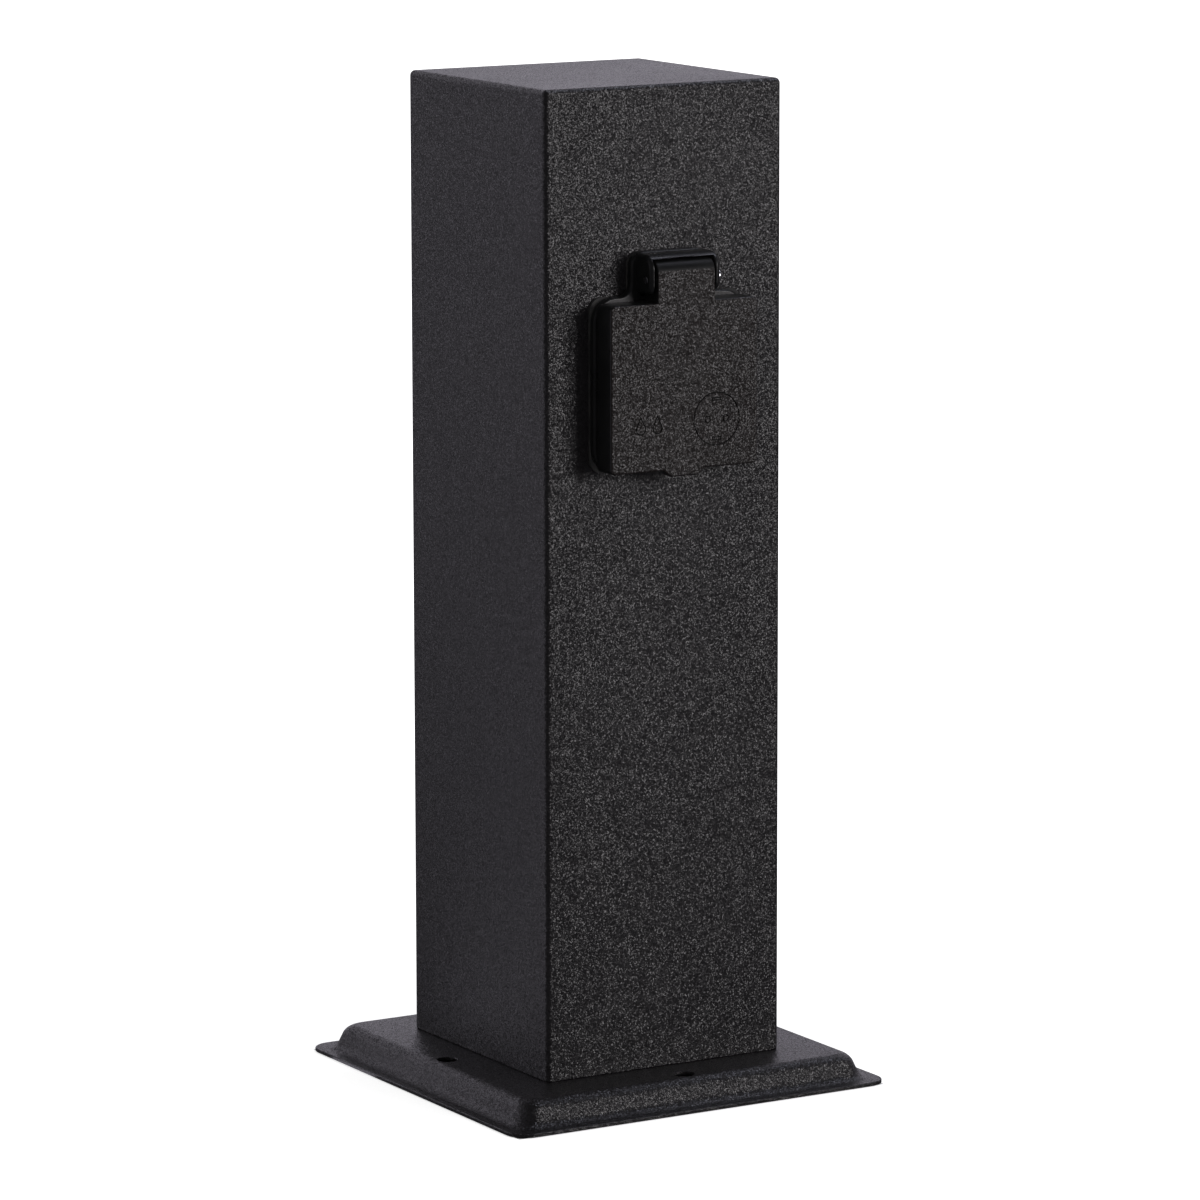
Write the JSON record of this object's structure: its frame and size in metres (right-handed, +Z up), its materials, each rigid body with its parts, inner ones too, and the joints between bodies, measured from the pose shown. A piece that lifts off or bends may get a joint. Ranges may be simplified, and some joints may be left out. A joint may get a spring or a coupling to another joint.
{
  "type": "outdoor socket column",
  "caption": "Square outdoor socket column on a pressed foot pan, with one earthed socket behind a sprung hinged flap.",
  "frame": {"origin": "middle of the foot pan, on the ground", "axes": "+Z up along the column, -Y out of the socket side, +X to the right seen from the front"},
  "size_m": [0.16, 0.16, 0.374],
  "materials": {
    "powder_coat": "fine sparkle powder coat, anthracite",
    "socket_shell": "smooth moulded plastic, near black",
    "flap_shell": "coated plastic with a fine sparkle",
    "recess_plastic": "fine eroded plastic, black",
    "carrier_plastic": "off-white moulded plastic",
    "seal_rubber": "soft black rubber",
    "zinc_steel": "zinc plated steel",
    "stainless": "stainless steel",
    "brass": "turned brass",
    "live_insulation": "brown wire insulation",
    "neutral_insulation": "blue wire insulation",
    "earth_insulation": "green and yellow wire insulation"
  },
  "bodies": {
    "column": {"column_housing": "powder_coat", "base_plate": "powder_coat", "corner_lugs": "zinc_steel", "base_screws": "zinc_steel", "base_washers": "zinc_steel", "cable_grommet": "seal_rubber", "flange_gasket": "seal_rubber", "socket_frame": "socket_shell", "frame_screws": "stainless", "rivet_nuts": "zinc_steel", "hinge_pin": "stainless", "hinge_spring": "stainless", "socket_cup": "recess_plastic", "contact_carrier": "carrier_plastic", "live_contact": "brass", "neutral_contact": "brass", "earth_bracket": "brass", "earth_clamp": "brass", "socket_terminal_screws": "zinc_steel", "centre_screw": "stainless", "terminal_bracket": "zinc_steel", "terminal_block": "carrier_plastic", "terminal_sleeves": "brass", "terminal_screws": "zinc_steel", "block_screws": "zinc_steel", "earth_stud": "zinc_steel", "earth_nut": "zinc_steel", "ring_terminal": "brass", "live_wire": "live_insulation", "neutral_wire": "neutral_insulation", "earth_wire": "earth_insulation", "earth_link_wire": "earth_insulation"},
    "flap": {"flap_lid": "flap_shell", "lid_gasket": "seal_rubber"}
  },
  "joints": [
    {"name": "flap_hinge", "type": "hinge", "parent": "column", "child": "flap", "pos_m": [0, -0.0602, 0.3048], "axis": [-1, 0, 0], "range_deg": [0, 110], "stiffness_Nm_per_rad": 0.012, "springref_deg": -85.94, "deforming": ["hinge_spring"]}
  ]
}
